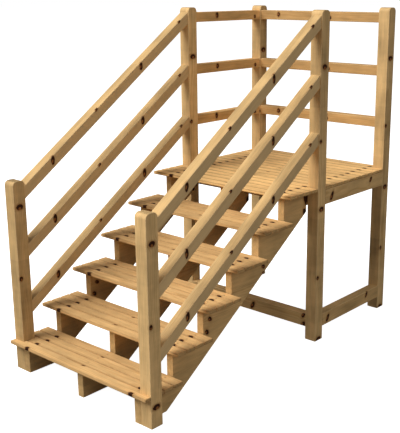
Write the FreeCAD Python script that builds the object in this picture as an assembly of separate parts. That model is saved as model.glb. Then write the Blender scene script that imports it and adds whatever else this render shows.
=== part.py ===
import FreeCAD, Part

import os

# A pine mounting block for riders: five open treads climb to a railed platform,
# whose +X side is open towards the horse.
#
# The working frame stands at the foot of the stair: X runs along the treads from
# the left posts' outer faces, Y runs up the stair from the newels' front faces and
# Z is up from the ground. Every solid is moved to the row frame as it is written,
# with the origin on the ground, in the middle of the whole block.

os.makedirs("parts", exist_ok=True)

# ---------------------------------------------------------------- driving dimensions, mm

WIDTH = 1050.0                  # over the outer faces of the left and right posts
POST = 73.0                     # side of every square post
POST_TOP_RADIUS = 25.0          # round on the front and back of each post top
POST_ARRIS = 3.0                # softened long edges of the posts
NEWEL_HEIGHT = 1045.0
PLATFORM_POST_HEIGHT = 1890.0
PLATFORM_DEPTH = 765.0          # over the front and back platform posts

GOING = 220.0                   # step to step, along Y
RISE = 150.0                    # step to step, along Z
TREADS = 5                      # the deck is one level above the last of them
NOSING = 36.0                   # overhang in front of the stringers' upright faces

SLAT_WIDTH = 60.0
SLAT_GAP = 4.0
SLAT_THICKNESS = 18.0
SLATS_PER_TREAD = 4
DECK_SLATS = 16
SLAT_CORNER = 7.0               # rounded corners, seen from above
SLAT_ARRIS = 4.0                # rounded upper and lower edges
NOTCH_CLEARANCE = 1.0           # between a slat and the post it is cut around

STRINGER = 42.0                 # thickness of the sawtooth boards
STRINGER_FOOT = 171.0           # length that stands on the ground
STRINGER_END = 1310.0           # upright upper end, against the front joist
STRINGER_ARRIS = 1.5
MIDDLE_STRINGER_OFFSET = 11.0   # to the right of the middle of the stair

RAIL_WIDTH = 61.0               # along X on the sloping rails
SLOPING_RAIL_DEPTH = 58.5       # square to the slope
LEVEL_RAIL_HEIGHT = 59.0
RAIL_SPACING = 315.0
RAIL_COUNT = 3
LEVEL_RAIL_TOP = 1860.0         # upper face of the top platform rail
SLOPING_RAIL_TOP = 1862.0       # upper face of the handrail where it meets the platform post
RAIL_ARRIS = 4.0

JOIST = 42.0                    # thickness of the rims and joists under the deck
JOIST_HEIGHT = 85.0
STRETCHER = 60.0                # thickness of the low stretchers
STRETCHER_BOTTOM = 77.0
STRETCHER_TOP = 153.0
FRAME_ARRIS = 3.0

TENON_DEPTH = 16.0
RAIL_TENON = (30.0, 28.0)       # width and height
JOIST_TENON = (18.0, 56.0)
STRETCHER_TENON = (24.0, 44.0)
MIDDLE_TENON = (20.0, 40.0)
MIDDLE_TENON_DEPTH = 12.0

SLAT_SCREW = (8.4, 4.4, 45.0)   # head diameter, shank diameter, length
FRAME_SCREW = (12.0, 6.0, 86.0)
SCREW_RECESS_DEPTH = 1.6
SCREW_RECESS_REACH = 0.24       # the recess's corners from its middle, as a share of the head
SCREW_SET_BACK = 12.0           # behind a stringer's upright face or a slat's front edge
FOOT_SCREW_Z = (42.0, 112.0)    # the screws that hold an outer stringer to its newel
JOIST_SCREW_RISE = 14.0         # above the front joist's lower face
JOIST_SCREW_SPREAD = 11.0       # each side of the stringer's middle

SAME_PLACE = 0.01               # lengths closer than this count as equal
SAME_WAY = 0.99                 # cosine above which two directions count as parallel

# ---------------------------------------------------------------- derived places

SLOPE = RISE / GOING
SLAT_PITCH = SLAT_WIDTH + SLAT_GAP
DECK_UNDERSIDE = (TREADS + 1) * RISE
DECK_FRONT = TREADS * GOING - NOSING
PLATFORM_FRONT = (TREADS + 1) * GOING
PLATFORM_BACK = PLATFORM_FRONT + PLATFORM_DEPTH
RIGHT_POST_X = WIDTH - POST
BACK_POST_Y = PLATFORM_BACK - POST
MIDDLE_STRINGER_X = (WIDTH - STRINGER) / 2 + MIDDLE_STRINGER_OFFSET
RIGHT_STRINGER_X = RIGHT_POST_X - STRINGER
JOIST_BOTTOM = DECK_UNDERSIDE - JOIST_HEIGHT
RAIL_INSET = (POST - RAIL_WIDTH) / 2
BACK_JOIST_Y = PLATFORM_BACK - JOIST
FRONT_JOIST_BACK = STRINGER_END + JOIST
ORIGIN = FreeCAD.Vector(-WIDTH / 2, (NOSING - PLATFORM_BACK) / 2, 0)

# ---------------------------------------------------------------- small helpers


def block(x, y, z):
    """A box from three (low, high) pairs."""
    corner = FreeCAD.Vector(x[0], y[0], z[0])
    return Part.makeBox(x[1] - x[0], y[1] - y[0], z[1] - z[0], corner)


def centred(middle, size):
    """The (low, high) pair of a length about its middle."""
    return middle - size / 2, middle + size / 2


def direction(edge):
    """The unit vector from one end of an edge to the other."""
    return (edge.Vertexes[-1].Point - edge.Vertexes[0].Point).normalize()


def soften(shape, radius, axis):
    """Round the straight edges of a shape that run along an axis."""
    edges = [e for e in shape.Edges if abs(direction(e).dot(axis)) > SAME_WAY]
    return shape.makeFillet(radius, edges)


def on_end_face(edge, x):
    """Whether an edge lies wholly in the plane of one X."""
    return edge.BoundBox.XMin > x - SAME_PLACE and edge.BoundBox.XMax < x + SAME_PLACE


def side_profile(points, x, thickness):
    """A board whose outline is drawn in the YZ plane, from x to x + thickness."""
    outline = [FreeCAD.Vector(x, y, z) for y, z in points]
    face = Part.Face(Part.makePolygon(outline + outline[:1]))
    return face.extrude(FreeCAD.Vector(thickness, 0, 0))


X_AXIS = FreeCAD.Vector(1, 0, 0)
Y_AXIS = FreeCAD.Vector(0, 1, 0)
Z_AXIS = FreeCAD.Vector(0, 0, 1)

nodes = {}

# ---------------------------------------------------------------- posts


def post(x, y, height):
    """A square post with a top rounded from front to back and softened long edges."""
    blank = block((x, x + POST), (y, y + POST), (0, height))
    crown = [e for e in blank.Edges
             if e.BoundBox.ZMin > height - SAME_PLACE and abs(direction(e).x) > SAME_WAY]
    rounded = blank.makeFillet(POST_TOP_RADIUS, crown)
    outline = [e for e in rounded.Edges
               if (on_end_face(e, x) or on_end_face(e, x + POST)) and e.BoundBox.ZMax > SAME_PLACE]
    return rounded.makeFillet(POST_ARRIS, outline)


nodes["newel_left"] = post(0, 0, NEWEL_HEIGHT)
nodes["newel_right"] = post(RIGHT_POST_X, 0, NEWEL_HEIGHT)
nodes["platform_post_front_left"] = post(0, PLATFORM_FRONT, PLATFORM_POST_HEIGHT)
nodes["platform_post_front_right"] = post(RIGHT_POST_X, PLATFORM_FRONT, PLATFORM_POST_HEIGHT)
nodes["platform_post_back_left"] = post(0, BACK_POST_Y, PLATFORM_POST_HEIGHT)
nodes["platform_post_back_right"] = post(RIGHT_POST_X, BACK_POST_Y, PLATFORM_POST_HEIGHT)
POST_NODES = list(nodes)

# ---------------------------------------------------------------- sawtooth stringers


def stringer(x):
    """A board with a level and an upright cut for every step, and a straight lower edge."""
    teeth = [(0.0, 0.0)]
    for step in range(TREADS + 1):
        teeth.append((step * GOING, (step + 1) * RISE))
        teeth.append(((step + 1) * GOING, (step + 1) * RISE))
    teeth[-1] = (STRINGER_END, DECK_UNDERSIDE)
    lower_end = (STRINGER_END - STRINGER_FOOT) * SLOPE
    outline = teeth + [(STRINGER_END, lower_end), (STRINGER_FOOT, 0.0)]
    board = side_profile(outline, x, STRINGER)
    sides = [e for e in board.Edges if on_end_face(e, x) or on_end_face(e, x + STRINGER)]
    return board.makeChamfer(STRINGER_ARRIS, sides)


nodes["stringer_left"] = stringer(POST)
nodes["stringer_middle"] = stringer(MIDDLE_STRINGER_X)
nodes["stringer_right"] = stringer(RIGHT_STRINGER_X)

# ---------------------------------------------------------------- rails, joists and stretchers


def along_y(x, y, z, tenon, arris):
    """A member between two posts along Y, with a stub tenon on each end."""
    body = soften(block(x, y, z), arris, Y_AXIS)
    width = centred(sum(x) / 2, tenon[0])
    height = centred(sum(z) / 2, tenon[1])
    return body.fuse(block(width, (y[0] - TENON_DEPTH, y[1] + TENON_DEPTH), height)).removeSplitter()


def along_x(y, z, tenon, arris):
    """A member between the left and right posts along X, with a stub tenon on each end."""
    body = soften(block((POST, RIGHT_POST_X), y, z), arris, X_AXIS)
    length = (POST - TENON_DEPTH, RIGHT_POST_X + TENON_DEPTH)
    width = centred(sum(y) / 2, tenon[0])
    height = centred(sum(z) / 2, tenon[1])
    return body.fuse(block(length, width, height)).removeSplitter()


def sloping_rail(x, top):
    """A rail that climbs from a newel's back face to a platform post's front face."""
    upright = SLOPING_RAIL_DEPTH * (1 + SLOPE ** 2) ** 0.5
    start, end = POST, PLATFORM_FRONT
    foot = top - (end - start) * SLOPE
    corners = [(start, foot), (end, top), (end, top - upright), (start, foot - upright)]
    body = side_profile(corners, x, RAIL_WIDTH)
    body = soften(body, RAIL_ARRIS, FreeCAD.Vector(0, GOING, RISE).normalize())
    for y, z in ((start, foot), (end, top)):
        width = centred(x + RAIL_WIDTH / 2, RAIL_TENON[0])
        height = centred(z - upright / 2, RAIL_TENON[1])
        body = body.fuse(block(width, centred(y, 2 * TENON_DEPTH), height))
    return body.removeSplitter()


LEVEL_NAMES = ("top", "middle", "lower")
RAIL_LEFT_X = RAIL_INSET
RAIL_RIGHT_X = RIGHT_POST_X + RAIL_INSET
LEFT_RAIL_SPAN = (RAIL_LEFT_X, RAIL_LEFT_X + RAIL_WIDTH)
BACK_RAIL_SPAN = (BACK_POST_Y + RAIL_INSET, PLATFORM_BACK - RAIL_INSET)
BETWEEN_SIDE_POSTS = (PLATFORM_FRONT + POST, BACK_POST_Y)
for level in range(RAIL_COUNT):
    name = LEVEL_NAMES[level]
    drop = level * RAIL_SPACING
    rail_z = (LEVEL_RAIL_TOP - drop - LEVEL_RAIL_HEIGHT, LEVEL_RAIL_TOP - drop)
    nodes[f"stair_rail_left_{name}"] = sloping_rail(RAIL_LEFT_X, SLOPING_RAIL_TOP - drop)
    nodes[f"stair_rail_right_{name}"] = sloping_rail(RAIL_RIGHT_X, SLOPING_RAIL_TOP - drop)
    nodes[f"platform_rail_left_{name}"] = along_y(
        LEFT_RAIL_SPAN, BETWEEN_SIDE_POSTS, rail_z, RAIL_TENON, RAIL_ARRIS)
    nodes[f"platform_rail_back_{name}"] = along_x(BACK_RAIL_SPAN, rail_z, RAIL_TENON, RAIL_ARRIS)

JOIST_Z = (JOIST_BOTTOM, DECK_UNDERSIDE)
STRETCHER_Z = (STRETCHER_BOTTOM, STRETCHER_TOP)
nodes["deck_rim_left"] = along_y((0, JOIST), BETWEEN_SIDE_POSTS, JOIST_Z, JOIST_TENON, FRAME_ARRIS)
nodes["deck_rim_right"] = along_y(
    (WIDTH - JOIST, WIDTH), BETWEEN_SIDE_POSTS, JOIST_Z, JOIST_TENON, FRAME_ARRIS)
nodes["deck_joist_back"] = along_x((BACK_JOIST_Y, PLATFORM_BACK), JOIST_Z, JOIST_TENON, FRAME_ARRIS)
nodes["stretcher_front"] = along_x(
    (PLATFORM_FRONT, PLATFORM_FRONT + STRETCHER), STRETCHER_Z, STRETCHER_TENON, FRAME_ARRIS)
nodes["stretcher_right"] = along_y(
    (WIDTH - STRETCHER, WIDTH), BETWEEN_SIDE_POSTS, STRETCHER_Z, STRETCHER_TENON, FRAME_ARRIS)

# The front joist stands against the stringers' ends, a little in front of the posts,
# so its tenons share the posts' front part only.
joist_front = soften(
    block((POST, RIGHT_POST_X), (STRINGER_END, FRONT_JOIST_BACK), JOIST_Z), FRAME_ARRIS, X_AXIS)
front_tenon = block(
    (POST - TENON_DEPTH, RIGHT_POST_X + TENON_DEPTH),
    (FRONT_JOIST_BACK - FRAME_ARRIS - JOIST_TENON[0], FRONT_JOIST_BACK - FRAME_ARRIS),
    centred(JOIST_BOTTOM + JOIST_HEIGHT / 2, JOIST_TENON[1]))
nodes["deck_joist_front"] = joist_front.fuse(front_tenon).removeSplitter()

joist_middle = soften(
    block((MIDDLE_STRINGER_X, MIDDLE_STRINGER_X + JOIST), (FRONT_JOIST_BACK, BACK_JOIST_Y), JOIST_Z),
    FRAME_ARRIS, Y_AXIS)
middle_tenon = block(
    centred(MIDDLE_STRINGER_X + JOIST / 2, MIDDLE_TENON[0]),
    (FRONT_JOIST_BACK - MIDDLE_TENON_DEPTH, BACK_JOIST_Y + MIDDLE_TENON_DEPTH),
    centred(JOIST_BOTTOM + JOIST_HEIGHT / 2, MIDDLE_TENON[1]))
nodes["deck_joist_middle"] = joist_middle.fuse(middle_tenon).removeSplitter()

# Every tenon's mortise is the shape of the member itself, taken out of what it enters.
TENONED = [n for n in nodes if "rail" in n or "rim" in n or "joist" in n or "stretcher" in n]
for name in POST_NODES:
    touching = [nodes[n] for n in TENONED if nodes[n].BoundBox.intersect(nodes[name].BoundBox)]
    nodes[name] = nodes[name].cut(Part.makeCompound(touching))
for name in ("deck_joist_front", "deck_joist_back"):
    nodes[name] = nodes[name].cut(nodes["deck_joist_middle"])

# ---------------------------------------------------------------- slats


def slat(x, front, underside):
    """One board along X with rounded corners and arrises."""
    blank = block(x, (front, front + SLAT_WIDTH), (underside, underside + SLAT_THICKNESS))
    cornered = soften(blank, SLAT_CORNER, Z_AXIS)
    flat = [e for e in cornered.Edges if e.BoundBox.ZLength < SAME_PLACE]
    return cornered.makeFillet(SLAT_ARRIS, flat)


def clear_of_posts(board):
    """The board with its corners cut out around the posts that pass through it."""
    for x in (0, RIGHT_POST_X):
        for y in (0, PLATFORM_FRONT, BACK_POST_Y):
            room = block(
                (x - NOTCH_CLEARANCE, x + POST + NOTCH_CLEARANCE),
                (y - NOTCH_CLEARANCE, y + POST + NOTCH_CLEARANCE), (0, PLATFORM_POST_HEIGHT))
            if room.BoundBox.intersect(board.BoundBox):
                board = board.cut(room)
    return board


FULL_LENGTH = (0, WIDTH)
BETWEEN_POSTS = (POST + NOTCH_CLEARANCE, RIGHT_POST_X - NOTCH_CLEARANCE)
slat_screw_places = []          # X, Y and Z of each slat screw's head
BEARER_X = (POST + STRINGER / 2, MIDDLE_STRINGER_X + STRINGER / 2, RIGHT_STRINGER_X + STRINGER / 2)
RIM_X = (JOIST / 2, MIDDLE_STRINGER_X + JOIST / 2, WIDTH - JOIST / 2)

for tread in range(TREADS):
    underside = (tread + 1) * RISE
    boards = []
    for row in range(SLATS_PER_TREAD):
        front = tread * GOING - NOSING + row * SLAT_PITCH
        boards.append(clear_of_posts(slat(FULL_LENGTH, front, underside)))
        # The first slat's screws stand back, over the stringer.
        screw_y = max(front + SLAT_WIDTH / 2, tread * GOING + SCREW_SET_BACK)
        slat_screw_places += [(x, screw_y, underside + SLAT_THICKNESS) for x in BEARER_X]
    nodes[f"tread_{tread + 1}"] = Part.makeCompound(boards)

for row in range(DECK_SLATS):
    front = DECK_FRONT + row * SLAT_PITCH
    middle = front + SLAT_WIDTH / 2
    between_front_posts = PLATFORM_FRONT <= front < PLATFORM_FRONT + POST / 2
    between_back_posts = front > BACK_POST_Y
    if between_front_posts or between_back_posts:
        board = slat(BETWEEN_POSTS, front, DECK_UNDERSIDE)
    else:
        board = clear_of_posts(slat(FULL_LENGTH, front, DECK_UNDERSIDE))
    nodes[f"deck_slat_{row + 1:02d}"] = board
    bearers = RIM_X if PLATFORM_FRONT + POST < middle < BACK_POST_Y else BEARER_X
    screw_y = middle
    if row == 0:
        screw_y = TREADS * GOING + SCREW_SET_BACK
    if between_front_posts:
        screw_y = front + SCREW_SET_BACK
    slat_screw_places += [(x, screw_y, DECK_UNDERSIDE + SLAT_THICKNESS) for x in bearers]

# ---------------------------------------------------------------- screws


def screw(place, pointing, size):
    """A countersunk screw with a hexagon recess, its head flush at the given place."""
    head, shank, length = size
    countersink = (head - shank) / 2
    cone = Part.makeCone(head / 2, shank / 2, countersink)
    shaft = Part.makeCylinder(shank / 2, length - countersink, FreeCAD.Vector(0, 0, countersink))
    return aimed(cone.fuse(shaft).removeSplitter(), place, pointing)


def recess(place, pointing, size):
    """The hexagon hole in a screw's head."""
    first = FreeCAD.Vector(size[0] * SCREW_RECESS_REACH, 0, 0)
    corners = [FreeCAD.Rotation(Z_AXIS, 60 * k).multVec(first) for k in range(7)]
    hexagon = Part.Face(Part.makePolygon(corners))
    return aimed(hexagon.extrude(FreeCAD.Vector(0, 0, SCREW_RECESS_DEPTH)), place, pointing)


def aimed(shape, place, pointing):
    """A shape drawn along +Z from the origin, turned and moved to its place."""
    turn = FreeCAD.Rotation(Z_AXIS, pointing)
    shape.Placement = FreeCAD.Placement(FreeCAD.Vector(*place), turn)
    return shape


def drive(group, places, pointing, size, receivers):
    """Make a group of equal screws and drill their holes in what they pass through."""
    holes = [screw(place, pointing, size) for place in places]
    for name in receivers:
        room = nodes[name].BoundBox
        here = [hole for hole in holes if room.intersect(hole.BoundBox)]
        if here:
            nodes[name] = nodes[name].cut(Part.makeCompound(here))
    nodes[group] = Part.makeCompound(
        [screw(place, pointing, size).cut(recess(place, pointing, size)) for place in places])


SLATS = [n for n in nodes if n.startswith("tread_") or n.startswith("deck_slat_")]
BEARERS = [n for n in nodes if "stringer" in n or "joist" in n or "rim" in n]
drive("slat_screws", slat_screw_places, -Z_AXIS, SLAT_SCREW, SLATS + BEARERS)

left_foot = [(POST + STRINGER, POST / 2, z) for z in FOOT_SCREW_Z]
right_foot = [(RIGHT_STRINGER_X, POST / 2, z) for z in FOOT_SCREW_Z]
drive("newel_screws_left", left_foot, -X_AXIS, FRAME_SCREW, ("stringer_left", "newel_left"))
drive("newel_screws_right", right_foot, X_AXIS, FRAME_SCREW, ("stringer_right", "newel_right"))

# A pair of screws side by side holds each stringer's end, low enough to pass under
# the slat screws and the middle joist's tenon.
joist_screw_z = JOIST_BOTTOM + JOIST_SCREW_RISE
joist_screw_places = [
    (x + side * JOIST_SCREW_SPREAD, FRONT_JOIST_BACK, joist_screw_z) for x in BEARER_X for side in (-1, 1)]
drive("stringer_screws", joist_screw_places, -Y_AXIS, FRAME_SCREW,
      ("deck_joist_front", "stringer_left", "stringer_middle", "stringer_right"))

# ---------------------------------------------------------------- write the parts

for name, shape in nodes.items():
    placed = shape.copy()
    placed.translate(ORIGIN)
    placed.exportStep(f"parts/{name}.step")
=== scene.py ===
import math

import bpy
from mathutils import Matrix, Vector


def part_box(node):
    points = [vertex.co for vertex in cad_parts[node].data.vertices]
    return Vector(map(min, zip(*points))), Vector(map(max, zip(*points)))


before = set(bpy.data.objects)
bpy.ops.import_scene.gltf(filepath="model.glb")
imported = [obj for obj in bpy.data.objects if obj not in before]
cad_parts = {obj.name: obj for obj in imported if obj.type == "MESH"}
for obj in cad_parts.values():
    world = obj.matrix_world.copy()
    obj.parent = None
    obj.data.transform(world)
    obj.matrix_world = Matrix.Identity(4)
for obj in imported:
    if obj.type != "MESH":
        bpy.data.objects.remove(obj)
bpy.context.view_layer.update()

bl_info = {
    "name": "Pine mounting block",
    "version": (1, 0, 0),
    "blender": (4, 5, 0),
    "location": "3D View > Sidebar > Mounting block",
    "description": "Finishes a pine mounting block board by board and sets it on a studio floor",
    "category": "Object",
}

# ------------------------------------------------------------------ the block's pieces and sizes, metres

NODE_NAMES = sorted(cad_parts)
SIDES = ("left", "right")
LEVELS = ("top", "middle", "lower")
POSTS = [n for n in NODE_NAMES if n in ("newel_left", "newel_right") or n.startswith("platform_post_")]
SLOPING_RAILS = [f"stair_rail_{side}_{level}" for side in SIDES for level in LEVELS]
LEFT_RAILS = [f"platform_rail_left_{level}" for level in LEVELS]
BACK_RAILS = [f"platform_rail_back_{level}" for level in LEVELS]
TREADS = [n for n in NODE_NAMES if n.startswith("tread_")]
DECK_SLATS = [n for n in NODE_NAMES if n.startswith("deck_slat_")]
STRINGERS = [n for n in NODE_NAMES if n.startswith("stringer_") and "screws" not in n]
SIDE_MEMBERS = ("deck_rim_left", "deck_rim_right", "stretcher_right", "deck_joist_middle")
CROSS_MEMBERS = ("deck_joist_back", "stretcher_front")
SCREWS = [n for n in NODE_NAMES if "screws" in n]

SLATS_PER_TREAD = 4
SLAT_DEPTH = (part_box("deck_slat_03")[1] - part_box("deck_slat_03")[0]).y
SLAT_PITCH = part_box("deck_slat_03")[0].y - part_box("deck_slat_02")[0].y
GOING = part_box("tread_2")[0].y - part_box("tread_1")[0].y
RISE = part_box("tread_2")[0].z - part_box("tread_1")[0].z
SLOPE = math.atan2(RISE, GOING)

ALONG_X, ALONG_Y, ALONG_Z = Vector((1, 0, 0)), Vector((0, 1, 0)), Vector((0, 0, 1))
UP_THE_STAIR = Vector((0, math.cos(SLOPE), math.sin(SLOPE)))
SQUARE_TO_STAIR = Vector((0, -math.sin(SLOPE), math.cos(SLOPE)))

# ------------------------------------------------------------------ how the boards differ

# Tints multiply the pine's own colours, for a group of pieces.
POST_TINT = (0.97, 1.01, 1.08)
SLOPING_RAIL_TINT = (0.90, 0.93, 0.97)
LEVEL_RAIL_TINT = (1.04, 0.97, 0.90)
TREAD_TINT = (1.04, 1.02, 1.04)
# The deck's tint is painted light: it lifts the deck slats, which get less of the key light and lie in the
# rails' shade.
DECK_PAINTED_LIGHT_TINT = (1.34, 1.33, 1.31)
FRAME_TINT = (0.94, 0.95, 0.97)

# Tones make one piece lighter or darker than the next.
# The front left platform post is lightened as painted light over the handrail's shade on its front; the front
# right one is darkened as painted shade of the deck over its leg.
POST_TONES_AND_PAINTED_LIGHT = {"newel_left": 0.90, "newel_right": 1.02, "platform_post_front_left": 1.15,
              "platform_post_front_right": 0.94}
SLOPING_RAIL_TONES = {"left": 0.93, "right": 1.04}
# The level rails' tones are painted light and shade: the left rails, whose sides turn from the key light, are
# lightened, and the back rails, which face it, are darkened.
LEFT_RAIL_PAINTED_LIGHT = 1.06
BACK_RAIL_PAINTED_SHADE = 0.85

# Dirt and painted shade in the joints between slats, as a multiple of the edge wear.
TREAD_JOINT_DIRT_AND_SHADE = 1.05
DECK_JOINT_DIRT_AND_SHADE = 1.35

# Knots: the place along the grain and across it from the board's middle, and the size, 1 for a large one.
SLOPING_RAIL_KNOTS = [(-0.523, 0.008, 1.0), (-0.122, 0.026, 0.36)]
LEFT_RAIL_KNOTS = [(-0.1215, 0.008, 1.0), (0.262, -0.010, 0.7)]
BACK_RAIL_KNOTS = [(-0.303, 0.005, 1.0), (0.097, -0.008, 0.7)]
SIDE_MEMBER_KNOTS = [(-0.254, -0.003, 1.0), (0.166, 0.020, 0.7)]
# The pair at 0.441 puts two dark marks at the upper and lower edges near the right end of the front stretcher
# and the back joist.
CROSS_MEMBER_MARKS = [(0.048, -0.003, 1.0), (0.441, 0.030, 0.8), (0.441, -0.027, 0.8)]
# The front joist's one mark is painted shade: a large all-bark knot near its right end darkens it where it
# shows in the slot between the right stringer's end and the front right post.
FRONT_JOIST_PAINTED_SHADE = [(0.452, 0.0, 2.3)]

# The same, but along from a slat's left end, up from a post's foot, or from a stringer's foot and the ground.
SLAT_KNOTS = [(0.147, -0.028, 1.5), (0.547, 0.025, 0.85), (0.948, -0.028, 1.5)]
NEWEL_KNOTS = [(0.114, 0.003, 1.0), (0.514, 0.024, 0.50)]
PLATFORM_POST_KNOTS = [(-0.006, 0.003, 1.0), (0.394, 0.024, 0.50)]
STRINGER_KNOTS_AND_SHADE = [
    (0.146, 0.115, 1.0), (0.487, 0.384, 0.8), (0.470, 0.320, 1.0), (0.914, 0.552, 0.8), (0.926, 0.516, 0.5),
    # The last two, large and all bark, are painted shade: they darken the stringers' back ends just under the
    # deck.
    (1.304, 0.848, 2.2), (1.301, 0.778, 1.6)]
KNOT_SLOTS = len(STRINGER_KNOTS_AND_SHADE)    # the most knots that one board has
NO_KNOT = (0.0, 50.0, 0.01)         # a place that no board reaches
KNOT_SPACING = 0.8                  # from one knot to the next of its size in a long board

FREE_OF_EDGES = 9.0                 # a half size so large that no edge is near

# ------------------------------------------------------------------ how a knot is made

KNOT_WIDTHS = (0.90, 1.10)          # one knot's width against its size
KNOT_LENGTHS = (0.52, 0.68)         # the length that every knot has, against a large one's
KNOT_LENGTH_GROWTH = 0.4            # the length added to that as the size grows
KNOT_STRAY = 0.004                  # how far it strays along the board, metres
KNOT_TILT = 0.25                    # its steepest slope through the board
KNOT_OUTLINE = (1.3, 3.0, 0.6)      # scale, detail and roughness of the noise in its outline
KNOT_RAGGED = 0.7                   # how uneven the outline is
KNOT_RIM = (1.08, 0.84)             # its outer edge, as shares of its radius
STAIN_RIM = (1.9, 0.9)              # the edge of the resin stain round it
HEART_ALONG = (0.30, 0.55)          # the brown heart's offset from the knot's middle
HEART_ACROSS = (-0.05, 0.25)
HEART_LENGTH, HEART_WIDTH = 0.62, 0.42
HEART_RAGGED = 1.1
HEART_RIM = (1.15, 0.55)
BARK_ONLY_SIZE = 1.5                # from this size on a knot has no heart to show
GRAIN_PULL = -0.30                  # how fast the grain straightens away from a knot
GRAIN_BEND = -0.85                  # how far the grain bends round it

# ------------------------------------------------------------------ how the pine grows

# Waves per metre along the grain, across it and through the board.
PITH_WANDER = (1.44, 11.2, 11.2)
RING_WAVES = (5.0, 70.0, 70.0)
FIBRES = (26.0, 900.0, 900.0)
STREAKS = (5.5, 42.0, 42.0)
CLOUDS = (5.0, 9.0, 9.0)
RIPPLES = (24.0, 5.0, 5.0)
RUB_MARKS = (34.0, 120.0, 120.0)

PITH_ASIDE = (-0.055, 0.055)        # the pith's place across the board, metres
PITH_BELOW = (0.030, 0.110)         # and behind its middle
PITH_SWAY = 0.030
RING_UNEVENNESS = 0.0022
LATE_WOOD_START = (0.30, 0.62)      # share of the year at which the late wood begins to darken
LATE_WOOD_FULL, LATE_WOOD_END = 0.90, 0.955
LATE_WOOD_STRENGTH = (0.45, 1.0)    # from a poor year to a good one
LATE_WOOD_SHARE = 0.62
FIBRE_TONE = 0.16
STAVE_LENGTH = 0.21                 # jointed lengths in the posts and rails
END_GRAIN_DARKER = -0.22
CHECK_DARKER = -0.55                # fine cracks in the end grain
CHECK_WIDTH = 0.035
CHECK_SPOKES, CHECK_RINGS = 26.0, 14.0

END_FACING = (0.80, 0.97)           # how squarely a face must look along the grain to be end grain
ROW_SEED_STEP = 3.17                # keeps the slats of one tread unlike each other
KNOT_STAIN_SHARE = 0.55
HEART_LIGHTER = 1.9                 # the palest heart wood against the knot's own colour
GRIME_SHARE = 0.10
GRIME_PATCHES = (11.0, 4.0, 0.6)    # scale, detail and roughness of the noise in it
GRIME_EDGE = (0.52, 0.78)

# These reaches set the edge band: pale wear with a painted highlight on most boards, dirt with painted shade
# along the slats' joints.
ARRIS_REACH = 0.0045                # how far wear reaches in from an edge, metres
JOINT_REACH = 0.0085                # how far dirt reaches in from a joint between slats

# ------------------------------------------------------------------ the studio

KEY_PLACE, KEY_TARGET, KEY_SIZE = (-4.0, -7.72, 10.3), (0, 0.1, 0.8), 9.0
FILL_PLACE, FILL_TARGET, FILL_SIZE = (11.0, -2.0, 5.5), (0, 0, 0.8), 6.0
KEY_COLOUR, FILL_COLOUR = (1.0, 0.985, 0.96), (1.0, 0.97, 0.93)
FLOOR_DROP = 0.0005                 # the floor lies this far below the feet
FLOOR_GLOW = 0.95                   # keeps the floor pale to the eye
FLOOR_BOUNCE = (0.20, 0.185, 0.165)     # what the floor gives back to the undersides
CLOUDED_FLOOR = 0.985               # the floor's darker clouds, against its own colour
SKY_AT_HORIZON = 0.45               # against the sky overhead

CAMERA_PLACE = (3.1176, -3.4605, 2.0056)
CAMERA_HEADING, CAMERA_DOWN, CAMERA_ROLL = 40.27, 14.62, -0.08      # degrees
CAMERA_SHIFT = (-0.0945, -0.0261)
SENSOR_WIDTH = 36.0                 # millimetres
VIEW_DEPTH = 400.0                  # how far the camera sees, metres


# ------------------------------------------------------------------ settings


def colour_setting(name, text, default):
    """A colour the user can change."""
    return bpy.props.FloatVectorProperty(
        name=name, description=text, default=default, subtype="COLOR", size=3, min=0.0, max=1.0)


def share_setting(name, text, default):
    """A number from 0 to 1 the user can change."""
    return bpy.props.FloatProperty(
        name=name, description=text, default=default, min=0.0, max=1.0, subtype="FACTOR")


def length_setting(name, text, default):
    """A length the user can change."""
    return bpy.props.FloatProperty(
        name=name, description=text, default=default, min=0.0005, max=100.0, precision=4,
        subtype="DISTANCE", unit="LENGTH")


def power_setting(name, text, default):
    """A light's power the user can change."""
    return bpy.props.FloatProperty(
        name=name, description=text, default=default, min=0.0, subtype="POWER", unit="POWER")


class PineSettings(bpy.types.PropertyGroup):
    """Colours and grain of the planed pine."""

    early_wood: colour_setting(
        "Early wood", "Pale wood between the dark lines of the rings", (0.69, 0.445, 0.190))
    late_wood: colour_setting(
        "Late wood", "Darker wood that ends each ring", (0.53, 0.29, 0.095))
    knot_wood: colour_setting("Knot", "Reddish brown wood inside a knot", (0.170, 0.062, 0.016))
    knot_bark: colour_setting("Knot bark", "Nearly black rim of a knot", (0.034, 0.0085, 0.0012))
    knot_stain: colour_setting("Knot stain", "Resin in the wood round a knot", (0.30, 0.115, 0.030))
    # Partly rubbed wood, partly a painted highlight along the arrises.
    worn_edge_and_highlight: colour_setting("Worn edge", "Pale wood where it is rubbed", (0.74, 0.53, 0.28))
    # Partly dirt, partly painted shade: it browns the slats' edges as the shade in the gaps between them.
    gap_dirt_and_shade_colour: colour_setting("Joint brown", "Dirt along the joints of slats", (0.33, 0.175, 0.060))
    grime: colour_setting("Grime", "Thin dirt in soft patches", (0.34, 0.22, 0.11))
    ring_width: length_setting("Ring width", "Width of one year's growth", 0.0046)
    knot_length: length_setting("Knot half length", "Half of a large knot along the grain", 0.0150)
    knot_width: length_setting("Knot half width", "Half of a large knot across the grain", 0.0225)
    tone_change: share_setting("Tone change", "How much the tone drifts along a board", 0.66)
    board_change: share_setting("Board change", "How much boards differ in tone", 0.14)
    # It scales the pale edge with its painted highlight, and the joint dirt with its painted shade.
    wear: share_setting("Edge wear", "How much the arrises are rubbed", 0.55)
    roughness: share_setting("Roughness", "Roughness of the planed faces", 0.56)


class ScrewSettings(bpy.types.PropertyGroup):
    """Finish of the screws."""

    zinc: colour_setting("Zinc", "Yellow passivated zinc", (0.66, 0.47, 0.20))
    worn_zinc: colour_setting("Worn zinc", "Bare grey metal where a driver rubbed", (0.46, 0.42, 0.34))
    roughness: share_setting("Roughness", "Roughness of the plating", 0.38)


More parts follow.
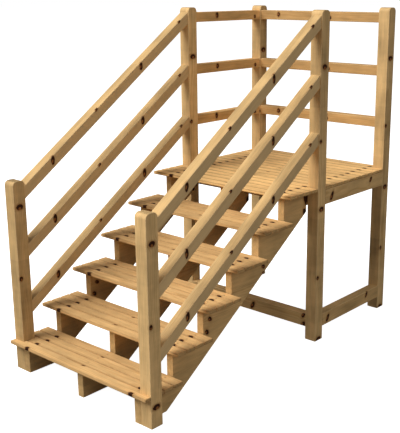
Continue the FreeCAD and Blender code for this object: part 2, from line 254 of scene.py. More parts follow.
class StageSettings(bpy.types.PropertyGroup):
    """Floor, light and camera."""

    floor: colour_setting("Floor", "Pale studio floor", (0.70, 0.70, 0.695))
    floor_radius: length_setting("Floor radius", "Radius of the round floor", 90.0)
    key_power: power_setting("Key light", "Power of the large soft light", 2000.0)
    fill_power: power_setting("Fill light", "Power of the weak light from the open side", 258.0)
    sky_strength: bpy.props.FloatProperty(
        name="Sky", description="Strength of the even light from above", default=0.235, min=0.0)
    focal_length: bpy.props.FloatProperty(
        name="Lens", description="Focal length of the camera", default=75.42, min=10.0,
        subtype="DISTANCE_CAMERA", unit="CAMERA")


# ------------------------------------------------------------------ making nodes


def put(tree, kind, inputs=None, **settings):
    """A new node with its settings, and its inputs set to values or linked to sockets."""
    made = tree.nodes.new(kind)
    for name, value in settings.items():
        setattr(made, name, value)
    for key, value in (inputs or {}).items():
        if isinstance(value, bpy.types.NodeSocket):
            tree.links.new(value, made.inputs[key])
        else:
            made.inputs[key].default_value = value
    return made


def calc(tree, operation, *values):
    """One Math node's result."""
    return put(tree, "ShaderNodeMath", dict(enumerate(values)), operation=operation).outputs[0]


def combined(tree, operation, first, *others):
    """Two or more values put together, one after the other."""
    for other in others:
        first = calc(tree, operation, first, other)
    return first


def layered(tree, value, layers):
    """A value with each mask's amount added."""
    for mask, amount in layers:
        value = calc(tree, "MULTIPLY_ADD", mask, amount, value)
    return value


def vector_calc(tree, operation, *values):
    """One Vector Math node's result: its number for a dot product or a length, else its vector."""
    made = put(tree, "ShaderNodeVectorMath", dict(enumerate(values)), operation=operation)
    return made.outputs["Value" if operation in ("DOT_PRODUCT", "LENGTH") else "Vector"]


def scaled(tree, vector, amount):
    """A vector or colour made larger or smaller."""
    return put(tree, "ShaderNodeVectorMath", {0: vector, "Scale": amount}, operation="SCALE").outputs[0]


def joined(tree, x, y, z):
    """A vector from its three parts."""
    return put(tree, "ShaderNodeCombineXYZ", {0: x, 1: y, 2: z}).outputs[0]


def parts(tree, vector):
    """The three parts of a vector."""
    return put(tree, "ShaderNodeSeparateXYZ", {0: vector}).outputs


def smooth(tree, value, low, high, to_low=0.0, to_high=1.0):
    """A value eased from one span to another, and held at its ends."""
    return put(tree, "ShaderNodeMapRange", {0: value, 1: low, 2: high, 3: to_low, 4: to_high},
               interpolation_type="SMOOTHSTEP").outputs[0]


def mixed(tree, share, first, second):
    """Two colours mixed."""
    return put(tree, "ShaderNodeMix", {0: share, 6: first, 7: second}, data_type="RGBA").outputs[2]


def between(tree, share, first, second):
    """Two numbers mixed."""
    return put(tree, "ShaderNodeMix", {0: share, 2: first, 3: second}, data_type="FLOAT").outputs[0]


def mottle(tree, place, scale, detail=2.0, roughness=0.5):
    """Noise from 0 to 1."""
    return put(tree, "ShaderNodeTexNoise",
               {"Vector": place, "Scale": scale, "Detail": detail, "Roughness": roughness}).outputs[0]


def streaky(tree, place, waves, detail=2.0, roughness=0.5):
    """Noise from 0 to 1 with its own number of waves per metre each way."""
    return mottle(tree, vector_calc(tree, "MULTIPLY", place, waves), 1.0, detail, roughness)


def centred(tree, value):
    """A value from 0 to 1 moved to lie about 0."""
    return calc(tree, "SUBTRACT", value, 0.5)


def chance(tree, number):
    """Three random numbers that belong to a number."""
    made = put(tree, "ShaderNodeTexWhiteNoise", {"W": number}, noise_dimensions="1D")
    return parts(tree, made.outputs["Color"])


def own(tree, name, output="Vector"):
    """A property of the object that wears the material."""
    return put(tree, "ShaderNodeAttribute", attribute_type="OBJECT", attribute_name=name).outputs[output]


def solid(colour):
    """A colour with its alpha."""
    return (*colour[:3], 1.0)


SOCKETS = {"value": "NodeSocketFloat", "vector": "NodeSocketVector", "colour": "NodeSocketColor"}


def start_group(name, inputs, outputs):
    """An empty shader group with named sockets, and its two end nodes."""
    tree = bpy.data.node_groups.new(name, "ShaderNodeTree")
    for label, kind in inputs:
        tree.interface.new_socket(name=label, in_out="INPUT", socket_type=SOCKETS[kind])
    for label, kind in outputs:
        tree.interface.new_socket(name=label, in_out="OUTPUT", socket_type=SOCKETS[kind])
    return tree, tree.nodes.new("NodeGroupInput").outputs, tree.nodes.new("NodeGroupOutput").inputs


def give(tree, out, **results):
    """Link results to a group's outputs of the same names."""
    for name, value in results.items():
        tree.links.new(value, out[name])


def use(tree, group, **inputs):
    """A group placed in a material. Underscores in input names stand for spaces."""
    named = {name.replace("_", " "): value for name, value in inputs.items()}
    return put(tree, "ShaderNodeGroup", node_tree=group, inputs=named).outputs


# ------------------------------------------------------------------ shared effects


def board_space_group():
    """Where a point is in its own board: along the grain, across it and through the thickness."""
    tree, _, out = start_group(
        "Board space", [], [("Place", "vector"), ("Seed", "value"), ("Row", "value"), ("End", "value")])
    here = put(tree, "ShaderNodeTexCoord").outputs["Object"]
    offset = vector_calc(tree, "SUBTRACT", here, own(tree, "board_middle"))
    grain = own(tree, "board_grain")
    width = own(tree, "board_width")
    through = vector_calc(tree, "CROSS_PRODUCT", grain, width)
    along = vector_calc(tree, "DOT_PRODUCT", offset, grain)
    across = vector_calc(tree, "DOT_PRODUCT", offset, width)
    depth = vector_calc(tree, "DOT_PRODUCT", offset, through)
    # A tread's slats share a node, so each row of them is a board of its own.
    pitch = own(tree, "row_pitch", "Fac")
    row = calc(tree, "ROUND", calc(tree, "DIVIDE", across, pitch))
    across = calc(tree, "SUBTRACT", across, calc(tree, "MULTIPLY", row, pitch))
    row = calc(tree, "ADD", row, own(tree, "first_row", "Fac"))
    seed = calc(tree, "MULTIPLY_ADD", row, ROW_SEED_STEP, own(tree, "board_seed", "Fac"))
    facing = put(tree, "ShaderNodeNewGeometry").outputs["True Normal"]
    facing = calc(tree, "ABSOLUTE", vector_calc(tree, "DOT_PRODUCT", facing, grain))
    end = calc(tree, "MULTIPLY", smooth(tree, facing, *END_FACING), own(tree, "end_grain", "Fac"))
    give(tree, out, Place=joined(tree, along, across, depth), Seed=seed, Row=row, End=end)
    return tree


def knot_group():
    """One knot of a board, repeated along it: its wood, its bark, the stain and bent grain round it."""
    tree, given, out = start_group(
        "Knot",
        [("Place", "vector"), ("Centre", "vector"), ("Half Length", "value"), ("Half Width", "value"),
         ("Half Depth", "value"), ("Bite", "value"), ("Far Shift", "value"), ("Lean", "value"),
         ("Spacing", "value"), ("Seed", "value"), ("Show", "value")],
        [("Wood", "value"), ("Bark", "value"), ("Stain", "value"), ("Bend", "value")])
    knot_along, knot_across, size = parts(tree, given["Centre"])
    along, across, depth = parts(tree, given["Place"])
    # The far face of a board has knots of its own, further along and nearer its other edge.
    far = calc(tree, "MULTIPLY", calc(tree, "LESS_THAN", depth, 0.0), given["Far Shift"])
    flip = smooth(tree, far, 0.0, 0.01, 1.0, -1.0)
    along = calc(tree, "ADD", calc(tree, "SUBTRACT", along, knot_along), far)
    across = calc(tree, "SUBTRACT", calc(tree, "MULTIPLY", across, flip), knot_across)
    turn = calc(tree, "ROUND", calc(tree, "DIVIDE", along, given["Spacing"]))
    along = calc(tree, "SUBTRACT", along, calc(tree, "MULTIPLY", turn, given["Spacing"]))
    luck = chance(tree, calc(tree, "MULTIPLY_ADD", turn, 5.3, given["Seed"]))
    width = calc(tree, "MULTIPLY", size, between(tree, luck[0], *KNOT_WIDTHS))
    length = calc(tree, "MULTIPLY_ADD", size, KNOT_LENGTH_GROWTH, between(tree, luck[1], *KNOT_LENGTHS))
    # It goes only as deep as its bite from the two faces it shows on.
    deep = calc(tree, "SUBTRACT", given["Half Depth"], calc(tree, "ABSOLUTE", depth))
    shown = calc(tree, "MULTIPLY", given["Show"],
                 smooth(tree, calc(tree, "DIVIDE", deep, given["Bite"]), 1.0, 0.5))
    # The knot leans a little through the board, and may lean across its face.
    along = calc(tree, "SUBTRACT", along, between(tree, luck[1], -KNOT_STRAY, KNOT_STRAY))
    along = calc(tree, "MULTIPLY_ADD", depth, between(tree, luck[2], -KNOT_TILT, KNOT_TILT), along)
    along = calc(tree, "SUBTRACT", along, calc(tree, "MULTIPLY", across, given["Lean"]))
    x = calc(tree, "DIVIDE", along, calc(tree, "MULTIPLY", given["Half Length"], length))
    y = calc(tree, "DIVIDE", across, calc(tree, "MULTIPLY", given["Half Width"], width))
    outline = joined(tree, x, y, calc(tree, "MULTIPLY", luck[1], 9.0))
    ragged = centred(tree, mottle(tree, outline, *KNOT_OUTLINE))
    reach = vector_calc(tree, "LENGTH", joined(tree, x, y, 0.0))
    reach = calc(tree, "MULTIPLY_ADD", ragged, KNOT_RAGGED, reach)
    wood = calc(tree, "MULTIPLY", smooth(tree, reach, *KNOT_RIM), shown)
    # The bark arches over a window of brown heart wood that is open on the lower side.
    heart_x = calc(tree, "ADD", x, between(tree, luck[2], *HEART_ALONG))
    heart_y = calc(tree, "ADD", y, between(tree, luck[0], *HEART_ACROSS))
    heart = vector_calc(tree, "LENGTH", joined(
        tree, calc(tree, "DIVIDE", heart_x, HEART_LENGTH), calc(tree, "DIVIDE", heart_y, HEART_WIDTH), 0.0))
    heart = smooth(tree, calc(tree, "MULTIPLY_ADD", ragged, HEART_RAGGED, heart), *HEART_RIM)
    heart = calc(tree, "MULTIPLY", heart, calc(tree, "LESS_THAN", size, BARK_ONLY_SIZE))
    bark = calc(tree, "MULTIPLY", calc(tree, "SUBTRACT", 1.0, heart), wood)
    stain = calc(tree, "MULTIPLY", smooth(tree, reach, *STAIN_RIM), shown)
    pull = calc(tree, "EXPONENT", combined(tree, "MULTIPLY", reach, reach, GRAIN_PULL))
    bend = combined(tree, "MULTIPLY", pull, across, calc(tree, "MULTIPLY", flip, GRAIN_BEND), shown)
    give(tree, out, Wood=wood, Bark=bark, Stain=stain, Bend=bend)
    return tree


def pine_grain_group():
    """Growth rings round a pith beside the board, with fibres, drift of tone and end grain."""
    tree, given, out = start_group(
        "Pine grain",
        [("Place", "vector"), ("Bend", "value"), ("Seed", "value"), ("End", "value"),
         ("Ring Width", "value"), ("Early Wood", "colour"), ("Late Wood", "colour"),
         ("Tone Change", "value"), ("Board Change", "value"), ("Board Tone", "value"),
         ("Stave Change", "value"), ("Ripple", "value")],
        [("Colour", "colour"), ("Ring", "value"), ("Fibre", "value"), ("Check", "value")])
    luck = chance(tree, given["Seed"])
    along, across, depth = parts(tree, given["Place"])
    shift = calc(tree, "MULTIPLY", given["Seed"], 0.37)
    moved = vector_calc(tree, "ADD", given["Place"], joined(tree, shift, shift, shift))
    # The pith lies beside or below the board and wanders a little along it.
    from_pith = calc(tree, "SUBTRACT", calc(tree, "ADD", across, given["Bend"]),
                     between(tree, luck[0], *PITH_ASIDE))
    above_pith = calc(tree, "ADD", depth, between(tree, luck[1], *PITH_BELOW))
    radius = layered(tree, vector_calc(tree, "LENGTH", joined(tree, from_pith, above_pith, 0.0)), [
        (centred(tree, streaky(tree, moved, PITH_WANDER)), PITH_SWAY),
        (streaky(tree, moved, RING_WAVES), RING_UNEVENNESS)])
    # Each year darkens slowly to its late wood and ends at once.
    years = calc(tree, "DIVIDE", radius, given["Ring Width"])
    part = calc(tree, "FRACT", years)
    year_luck = chance(tree, calc(tree, "ADD", calc(tree, "FLOOR", years), given["Seed"]))
    darkening = smooth(tree, part, between(tree, year_luck[0], *LATE_WOOD_START), LATE_WOOD_FULL)
    ending = smooth(tree, part, 1.0, LATE_WOOD_END)
    ring = combined(tree, "MULTIPLY", darkening, ending, between(tree, year_luck[1], *LATE_WOOD_STRENGTH))
    fibre = streaky(tree, moved, FIBRES, 3.0, 0.6)
    # The drift of tone: broad pale and dark streaks that run with the grain, and clouds.
    drift = calc(tree, "ADD", centred(tree, streaky(tree, moved, STREAKS, 3.0, 0.55)),
                 centred(tree, streaky(tree, moved, CLOUDS)))
    # Jointed lengths of timber differ a little where one ends and the next begins.
    stave = calc(tree, "FLOOR", calc(tree, "ADD", calc(tree, "DIVIDE", along, STAVE_LENGTH), luck[1]))
    stave_luck = chance(tree, calc(tree, "MULTIPLY_ADD", stave, 1.9, given["Seed"]))
    # Ripples lie across the grain, where the fibres rise and fall.
    ripple = centred(tree, streaky(tree, moved, RIPPLES))
    tone = layered(tree, 1.0, [
        (drift, given["Tone Change"]), (centred(tree, luck[2]), given["Board Change"]),
        (centred(tree, stave_luck[0]), given["Stave Change"]), (ripple, given["Ripple"]),
        (centred(tree, fibre), FIBRE_TONE)])
    colour = mixed(tree, calc(tree, "MULTIPLY", ring, LATE_WOOD_SHARE), given["Early Wood"],
                   given["Late Wood"])
    colour = scaled(tree, colour, calc(tree, "MULTIPLY", tone, given["Board Tone"]))
    # End grain drinks more oil, and dries in fine cracks that point at the pith.
    angle = calc(tree, "ARCTAN2", from_pith, above_pith)
    spokes = joined(tree, calc(tree, "MULTIPLY", angle, CHECK_SPOKES),
                    calc(tree, "MULTIPLY", radius, CHECK_RINGS), shift)
    crack = calc(tree, "ABSOLUTE", centred(tree, mottle(tree, spokes, 1.0, 3.0)))
    check = calc(tree, "MULTIPLY", smooth(tree, crack, CHECK_WIDTH, 0.0), given["End"])
    darker = calc(tree, "MULTIPLY", layered(tree, 1.0, [(given["End"], END_GRAIN_DARKER)]),
                  layered(tree, 1.0, [(check, CHECK_DARKER)]))
    give(tree, out, Colour=scaled(tree, colour, darker), Ring=ring, Fibre=fibre, Check=check)
    return tree


def arris_wear_and_light_group():
    """The band along a board's edges, which takes its wear and painted light, and thin patches of grime."""
    tree, given, out = start_group(
        "Arris wear and painted light", [("Place", "vector"), ("Half Size", "vector"), ("Seed", "value"), ("Reach", "value")],
        [("Wear", "value"), ("Grime", "value")])
    inside = vector_calc(tree, "SUBTRACT", given["Half Size"], vector_calc(tree, "ABSOLUTE", given["Place"]))
    a, b, c = parts(tree, inside)
    # The second smallest distance to a face is the distance to the nearest edge.
    near = calc(tree, "MAXIMUM", calc(tree, "MINIMUM", a, b),
                calc(tree, "MINIMUM", calc(tree, "MAXIMUM", a, b), c))
    shifted = vector_calc(tree, "ADD", given["Place"], joined(tree, given["Seed"], 0.0, 0.0))
    patchy = centred(tree, streaky(tree, shifted, RUB_MARKS, 3.0, 0.65))
    near = calc(tree, "MULTIPLY_ADD", patchy, given["Reach"], near)
    grime = smooth(tree, mottle(tree, shifted, *GRIME_PATCHES), *GRIME_EDGE)
    give(tree, out, Wear=smooth(tree, near, given["Reach"], 0.0), Grime=grime)
    return tree


GROUP_MAKERS = {
    "Board space": board_space_group,
    "Knot": knot_group,
    "Pine grain": pine_grain_group,
    "Arris wear and painted light": arris_wear_and_light_group,
}


def shared(name):
    """A shader group, built the first time it is asked for."""
    return bpy.data.node_groups.get(name) or GROUP_MAKERS[name]()


# ------------------------------------------------------------------ materials


def start_nodes(owner):
    """The empty node tree of a new material or world."""
    owner.use_nodes = True
    owner.node_tree.nodes.clear()
    return owner.node_tree


def tinted(colour, tint):
    """A colour times a tint."""
    return solid([share * part for share, part in zip(tint, colour)])


def pine_material(name, settings, knots, knot_shape=(1.0, 1.0), spacing=KNOT_SPACING, alternate=None,
                  tint=(1.0, 1.0, 1.0), bite=0.012, far_shift=0.23, lean=0.0, staves=0.0,
                  ripple=0.08, joint_dirt_and_shade=0.0):
    """Oiled pine with so many knots of each board drawn.

    The one called alternate shows on every other row, and a spacing of 0 keeps knots from repeating.
    Joint dirt browns the edges with dirt and painted shade, instead of making them pale with wear and a
    painted highlight.
    """
    material = bpy.data.materials.new(name)
    tree = start_nodes(material)
    board = use(tree, shared("Board space"))
    place, seed = board["Place"], board["Seed"]
    half_size = own(tree, "board_half")
    even_row = calc(tree, "SUBTRACT", 1.0, calc(tree, "MODULO", board["Row"], 2.0))
    marks = [use(tree, shared("Knot"), Place=place, Centre=own(tree, f"knot_{number}"),
                 Half_Length=settings.knot_length * knot_shape[0],
                 Half_Width=settings.knot_width * knot_shape[1], Half_Depth=parts(tree, half_size)[2],
                 Bite=bite, Far_Shift=far_shift, Lean=lean, Spacing=spacing,
                 Seed=calc(tree, "ADD", seed, 11.0 * number),
                 Show=even_row if number == alternate else 1.0)
             for number in range(1, knots + 1)]
    wood, bark, stain = (combined(tree, "MAXIMUM", *[mark[output] for mark in marks])
                         for output in ("Wood", "Bark", "Stain"))
    bend = combined(tree, "ADD", *[mark["Bend"] for mark in marks])
    grain = use(
        tree, shared("Pine grain"), Place=place, Bend=bend, Seed=seed, End=board["End"],
        Ring_Width=settings.ring_width, Early_Wood=tinted(settings.early_wood, tint),
        Late_Wood=tinted(settings.late_wood, tint), Tone_Change=settings.tone_change,
        Board_Change=settings.board_change, Board_Tone=own(tree, "board_tone", "Fac"),
        Stave_Change=staves, Ripple=ripple)
    # The edge band is painted: dirt and painted shade along the slats' joints, or pale wear with a painted
    # highlight on other boards.
    if joint_dirt_and_shade:
        reach, edge, edge_colour = JOINT_REACH, settings.wear * joint_dirt_and_shade, settings.gap_dirt_and_shade_colour
    else:
        reach, edge, edge_colour = ARRIS_REACH, settings.wear, settings.worn_edge_and_highlight
    rubbed = use(tree, shared("Arris wear and painted light"), Place=place, Half_Size=half_size, Seed=seed, Reach=reach)
    colour = grain["Colour"]
    for mask, share, over in ((stain, KNOT_STAIN_SHARE, settings.knot_stain),
                              (rubbed["Wear"], edge, edge_colour),
                              (rubbed["Grime"], GRIME_SHARE, settings.grime)):
        colour = mixed(tree, calc(tree, "MULTIPLY", mask, share), colour, solid(over))
    heart = mixed(tree, layered(tree, 0.55, [(grain["Fibre"], 0.6)]), solid(settings.knot_wood),
                  solid([HEART_LIGHTER * part for part in settings.knot_wood]))
    colour = mixed(tree, wood, colour, heart)
    colour = mixed(tree, bark, colour, solid(settings.knot_bark))
    roughness = layered(tree, settings.roughness, [
        (grain["Ring"], -0.08), (grain["Fibre"], 0.14), (rubbed["Wear"], -0.10), (wood, 0.05),
        (board["End"], 0.18)])
    height = layered(tree, 0.0, [
        (grain["Ring"], 0.5), (grain["Fibre"], 0.35), (wood, 0.9), (bark, -1.2), (grain["Check"], -1.5)])
    normal = put(tree, "ShaderNodeBump", {"Strength": 0.45, "Distance": 0.0006, "Height": height}).outputs[0]
    shader = put(tree, "ShaderNodeBsdfPrincipled",
                 {"Base Color": colour, "Roughness": roughness, "Normal": normal, "Specular IOR Level": 0.16})
    put(tree, "ShaderNodeOutputMaterial", {"Surface": shader.outputs[0]})
    return material


def slat_material(name, settings, tint, joint_dirt_and_shade):
    """Pine of the slats, which have small knots right at their edges."""
    return pine_material(name, settings, len(SLAT_KNOTS), knot_shape=(0.82, 0.32), spacing=0.0, alternate=2,
                         tint=tint, bite=0.05, far_shift=0.0, joint_dirt_and_shade=joint_dirt_and_shade)


def zinc_material(name, settings):
    """Yellow plated steel, rubbed grey where the driver turned it."""
    material = bpy.data.materials.new(name)
    tree = start_nodes(material)
    here = put(tree, "ShaderNodeTexCoord").outputs["Object"]
    fine = mottle(tree, here, 900.0, 3.0, 0.6)
    patches = smooth(tree, mottle(tree, here, 260.0, 3.0), 0.46, 0.66)
    colour = mixed(tree, patches, solid(settings.zinc), solid(settings.worn_zinc))
    roughness = layered(tree, settings.roughness - 0.10, [(fine, 0.25)])
    normal = put(tree, "ShaderNodeBump", {"Strength": 0.3, "Distance": 0.0001, "Height": fine}).outputs[0]
    shader = put(tree, "ShaderNodeBsdfPrincipled",
                 {"Base Color": colour, "Roughness": roughness, "Normal": normal, "Metallic": 0.9})
    put(tree, "ShaderNodeOutputMaterial", {"Surface": shader.outputs[0]})
    return material


def give_material(name, material):
    """Give a CAD node its material."""
    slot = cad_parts[name].material_slots[0]
    slot.link = "OBJECT"
    slot.material = material


def describe_board(name, grain, width, knots, rows=1, first_row=0, end_grain=1.0, tone=1.0):
    """Tell the pine which way a node's boards run, how large they are and where their knots sit."""
    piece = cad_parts[name]
    low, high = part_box(name)
    middle, half = (low + high) / 2, (high - low) / 2
    if rows > 1:
        middle.y = low.y + SLAT_DEPTH / 2
        half.y = SLAT_DEPTH / 2
    piece["board_middle"] = list(middle)
    piece["board_grain"] = list(grain)
    piece["board_width"] = list(width)
    piece["board_half"] = [sum(abs(axis[i]) * half[i] for i in range(3))
                           for axis in (grain, width, grain.cross(width))]
    piece["row_pitch"] = SLAT_PITCH if rows > 1 else 0.0
    piece["first_row"] = float(first_row)
    piece["end_grain"] = end_grain
    # The tone is the board's own, or painted light and shade for the level rails and the front platform
    # posts.
    piece["board_tone"] = tone
    piece["board_seed"] = 7.31 * NODE_NAMES.index(name) + 0.5
    for number in range(KNOT_SLOTS):
        piece[f"knot_{number + 1}"] = list(knots[number] if number < len(knots) else NO_KNOT)


def half_width(name):
    """Half of a node's size along X."""
    low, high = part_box(name)
    return (high.x - low.x) / 2


# ------------------------------------------------------------------ operators


class FinishPosts(bpy.types.Operator):
    """Newels and platform posts in square planed pine"""

    bl_idname = "mounting_block.finish_posts"
    bl_label = "Posts"

    def execute(self, context):
        pine = pine_material("oiled_post_pine", context.scene.pine, 2, tint=POST_TINT, staves=0.13,
                             ripple=0.30)
        for name in POSTS:
            low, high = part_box(name)
            middle = (low.z + high.z) / 2
            from_foot = NEWEL_KNOTS if name.startswith("newel") else PLATFORM_POST_KNOTS
            knots = [(along - middle, across, size) for along, across, size in from_foot]
            # The front platform posts' tones are painted light and shade.
            describe_board(name, ALONG_Z, -ALONG_Y, knots, tone=POST_TONES_AND_PAINTED_LIGHT.get(name, 1.0))
            give_material(name, pine)
        return {"FINISHED"}


class FinishSlopingRails(bpy.types.Operator):
    """Handrails and side rails that climb with the stair"""

    bl_idname = "mounting_block.finish_sloping_rails"
    bl_label = "Sloping rails"

    def execute(self, context):
        pine = pine_material("sloping_rail_pine", context.scene.pine, 2, knot_shape=(1.0, 0.95),
                             tint=SLOPING_RAIL_TINT, lean=0.5, staves=0.10)
        for name in SLOPING_RAILS:
            side = name.split("_")[2]
            describe_board(name, UP_THE_STAIR, SQUARE_TO_STAIR, SLOPING_RAIL_KNOTS,
                           tone=SLOPING_RAIL_TONES[side])
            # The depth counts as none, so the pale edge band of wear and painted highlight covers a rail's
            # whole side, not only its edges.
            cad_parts[name]["board_half"] = [FREE_OF_EDGES, 0.0, half_width(name)]
            give_material(name, pine)
        return {"FINISHED"}


class FinishLevelRails(bpy.types.Operator):
    """Level rails on the left and back of the platform"""

    bl_idname = "mounting_block.finish_level_rails"
    bl_label = "Level rails"

    def execute(self, context):
        pine = pine_material("level_rail_pine", context.scene.pine, 2, knot_shape=(0.80, 0.75),
                             tint=LEVEL_RAIL_TINT)
        # The left rails' tone is painted light, the back rails' tone painted shade.
        for name in LEFT_RAILS:
            describe_board(name, ALONG_Y, ALONG_Z, LEFT_RAIL_KNOTS, tone=LEFT_RAIL_PAINTED_LIGHT)
            give_material(name, pine)
        for name in BACK_RAILS:
            describe_board(name, ALONG_X, ALONG_Z, BACK_RAIL_KNOTS, tone=BACK_RAIL_PAINTED_SHADE)
            give_material(name, pine)
        return {"FINISHED"}


def slat_knots():
    """Where the knots of a slat sit, measured from its middle."""
    middle = half_width("tread_1")
    return [(along - middle, across, size) for along, across, size in SLAT_KNOTS]


class FinishTreads(bpy.types.Operator):
    """Five open treads of four slats each"""

    bl_idname = "mounting_block.finish_treads"
    bl_label = "Treads"

    def execute(self, context):
        # The treads' joints are browned as dirt and painted shade.
        pine = slat_material("tread_pine", context.scene.pine, TREAD_TINT, TREAD_JOINT_DIRT_AND_SHADE)
        for name in TREADS:
            describe_board(name, ALONG_X, ALONG_Y, slat_knots(), rows=SLATS_PER_TREAD)
            give_material(name, pine)
        return {"FINISHED"}


class FinishDeck(bpy.types.Operator):
    """Slats of the platform and its top step"""

    bl_idname = "mounting_block.finish_deck"
    bl_label = "Deck slats"

    def execute(self, context):
        # The deck slats are lightened as painted light, and their joints browned as dirt and painted shade.
        pine = slat_material("deck_pine_with_painted_light", context.scene.pine, DECK_PAINTED_LIGHT_TINT, DECK_JOINT_DIRT_AND_SHADE)
        for row, name in enumerate(DECK_SLATS):
            describe_board(name, ALONG_X, ALONG_Y, slat_knots(), first_row=row)
            give_material(name, pine)
        return {"FINISHED"}


class FinishStringers(bpy.types.Operator):
    """Three sawtooth boards that carry the treads"""

    bl_idname = "mounting_block.finish_stringers"
    bl_label = "Stringers"

    def execute(self, context):
        pine = pine_material("oiled_stringer_pine", context.scene.pine, len(STRINGER_KNOTS_AND_SHADE), spacing=0.0,
                             knot_shape=(0.90, 0.70), tint=FRAME_TINT, lean=-0.3)
        low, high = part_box(STRINGERS[0])
        middle = (low + high) / 2
        # The last two knots are painted shade at the stringers' back ends under the deck.
        knots = [(low.y + y - middle.y, z - middle.z, size) for y, z, size in STRINGER_KNOTS_AND_SHADE]
        for name in STRINGERS:
            # The upright cuts show little end grain, and the many short edges aren't rubbed.
            describe_board(name, ALONG_Y, ALONG_Z, knots, end_grain=0.25)
            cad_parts[name]["board_half"] = [FREE_OF_EDGES, FREE_OF_EDGES, half_width(name)]
            give_material(name, pine)
        return {"FINISHED"}


class FinishUnderframe(bpy.types.Operator):
    """Rims, joists and stretchers that tie the posts together"""

    bl_idname = "mounting_block.finish_underframe"
    bl_label = "Underframe"

    def execute(self, context):
        pine = pine_material("underframe_pine", context.scene.pine, 3, knot_shape=(0.85, 1.1),
                             tint=FRAME_TINT, lean=0.4)
        for name in SIDE_MEMBERS:
            describe_board(name, ALONG_Y, ALONG_Z, SIDE_MEMBER_KNOTS)
            give_material(name, pine)
        for name in CROSS_MEMBERS:
            describe_board(name, ALONG_X, ALONG_Z, CROSS_MEMBER_MARKS)
            give_material(name, pine)
        # Its one large dark knot is painted shade in the slot beside the right stringer's end.
        describe_board("deck_joist_front", ALONG_X, ALONG_Z, FRONT_JOIST_PAINTED_SHADE)
        give_material("deck_joist_front", pine)
        return {"FINISHED"}


class FinishScrews(bpy.types.Operator):
    """Countersunk plated screws"""

    bl_idname = "mounting_block.finish_screws"
    bl_label = "Screws"

    def execute(self, context):
        zinc = zinc_material("screw_zinc_plate", context.scene.screws)
        for name in SCREWS:
            give_material(name, zinc)
        return {"FINISHED"}


def area_light(name, place, target, size, power, colour):
    """A large soft square light pointed at a target."""
    data = bpy.data.lights.new(name, "AREA")
    data.size = size
    data.energy = power
    data.color = colour
    item = bpy.data.objects.new(name, data)
    bpy.context.scene.collection.objects.link(item)
    item.location = place
    item.rotation_euler = (Vector(target) - Vector(place)).to_track_quat("-Z", "Y").to_euler()


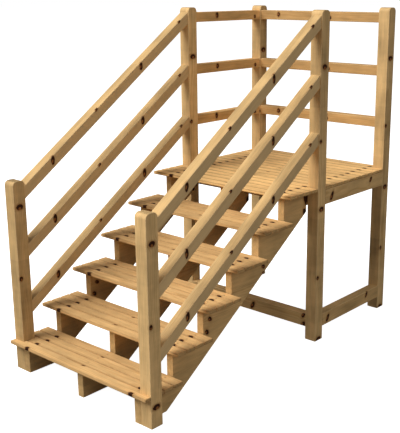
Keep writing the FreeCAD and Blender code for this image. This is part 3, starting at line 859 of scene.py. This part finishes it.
class SetStage(bpy.types.Operator):
    """Floor, lights, sky and camera"""

    bl_idname = "mounting_block.set_stage"
    bl_label = "Stage"

    def execute(self, context):
        settings = context.scene.stage
        self.floor(settings)
        self.sky(settings)
        self.lights(settings)
        self.camera(settings)
        context.scene.view_settings.view_transform = "Standard"
        return {"FINISHED"}

    def floor(self, settings):
        """A round pale floor that gives little light back to the undersides."""
        bpy.ops.mesh.primitive_circle_add(
            vertices=96, radius=settings.floor_radius, fill_type="NGON", location=(0, 0, -FLOOR_DROP))
        floor = bpy.context.object
        floor.name = "studio_floor"
        material = bpy.data.materials.new("studio_floor_paint")
        tree = start_nodes(material)
        here = put(tree, "ShaderNodeTexCoord").outputs["Object"]
        clouded = solid([CLOUDED_FLOOR * part for part in settings.floor])
        colour = mixed(tree, mottle(tree, here, 1.5, 3.0), clouded, solid(settings.floor))
        seen = put(tree, "ShaderNodeLightPath").outputs["Is Camera Ray"]
        pale = put(tree, "ShaderNodeBsdfDiffuse", {"Color": colour})
        glow = put(tree, "ShaderNodeEmission", {"Color": (1, 1, 1, 1), "Strength": FLOOR_GLOW})
        lit = put(tree, "ShaderNodeAddShader", {0: pale.outputs[0], 1: glow.outputs[0]})
        dim = put(tree, "ShaderNodeBsdfDiffuse", {"Color": solid(FLOOR_BOUNCE)})
        both = put(tree, "ShaderNodeMixShader", {0: seen, 1: dim.outputs[0], 2: lit.outputs[0]})
        put(tree, "ShaderNodeOutputMaterial", {"Surface": both.outputs[0]})
        floor.data.materials.append(material)

    def sky(self, settings):
        """White to the eye, and a soft even light that comes from above."""
        world = bpy.data.worlds.new("studio_sky")
        bpy.context.scene.world = world
        tree = start_nodes(world)
        ray = put(tree, "ShaderNodeTexCoord").outputs["Generated"]
        lift = smooth(tree, parts(tree, ray)[2], -0.1, 0.9, SKY_AT_HORIZON, 1.0)
        seen = put(tree, "ShaderNodeLightPath").outputs["Is Camera Ray"]
        strength = between(tree, seen, calc(tree, "MULTIPLY", lift, settings.sky_strength), 1.0)
        sky = put(tree, "ShaderNodeBackground", {"Color": (1, 1, 1, 1), "Strength": strength})
        put(tree, "ShaderNodeOutputWorld", {"Surface": sky.outputs[0]})

    def lights(self, settings):
        """A large key from the front left, and a weak fill from the open side."""
        area_light("key_light", KEY_PLACE, KEY_TARGET, KEY_SIZE, settings.key_power, KEY_COLOUR)
        area_light("fill_light", FILL_PLACE, FILL_TARGET, FILL_SIZE, settings.fill_power, FILL_COLOUR)

    def camera(self, settings):
        """The camera stands at the front right, a little above the platform's rails."""
        data = bpy.data.cameras.new("camera")
        data.sensor_fit = "HORIZONTAL"
        data.sensor_width = SENSOR_WIDTH
        data.lens = settings.focal_length
        data.shift_x, data.shift_y = CAMERA_SHIFT
        data.clip_end = VIEW_DEPTH
        camera = bpy.data.objects.new("camera", data)
        bpy.context.scene.collection.objects.link(camera)
        turn = Matrix.Rotation(math.radians(CAMERA_HEADING), 4, "Z")
        tilt = Matrix.Rotation(math.radians(90 - CAMERA_DOWN), 4, "X")
        roll = Matrix.Rotation(math.radians(CAMERA_ROLL), 4, "Z")
        camera.matrix_world = Matrix.Translation(CAMERA_PLACE) @ turn @ tilt @ roll
        bpy.context.scene.camera = camera


PIECE_OPERATORS = (
    FinishPosts, FinishSlopingRails, FinishLevelRails, FinishTreads, FinishDeck, FinishStringers,
    FinishUnderframe, FinishScrews,
)


class MountingBlockPanel(bpy.types.Panel):
    """The block's pieces and stage"""

    bl_idname = "VIEW3D_PT_mounting_block"
    bl_label = "Mounting block"
    bl_space_type = "VIEW_3D"
    bl_region_type = "UI"
    bl_category = "Mounting block"

    def draw(self, context):
        layout = self.layout
        for heading, name in (("Pine", "pine"), ("Screws", "screws"), ("Stage", "stage")):
            box = layout.box()
            box.label(text=heading)
            settings = getattr(context.scene, name)
            for key in settings.bl_rna.properties.keys():
                if key not in ("rna_type", "name"):
                    box.prop(settings, key)
        for operator in (*PIECE_OPERATORS, SetStage):
            layout.operator(operator.bl_idname)


SETTINGS = {"pine": PineSettings, "screws": ScrewSettings, "stage": StageSettings}
CLASSES = (*SETTINGS.values(), *PIECE_OPERATORS, SetStage, MountingBlockPanel)


def register():
    for each in CLASSES:
        bpy.utils.register_class(each)
    for name, group in SETTINGS.items():
        setattr(bpy.types.Scene, name, bpy.props.PointerProperty(type=group))


def unregister():
    for name in SETTINGS:
        delattr(bpy.types.Scene, name)
    for each in reversed(CLASSES):
        bpy.utils.unregister_class(each)


def main():
    """Register the add-on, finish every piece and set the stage."""
    register()
    for operator in (*PIECE_OPERATORS, SetStage):
        group, name = operator.bl_idname.split(".")
        getattr(getattr(bpy.ops, group), name)()


if __name__ == "__main__":
    main()
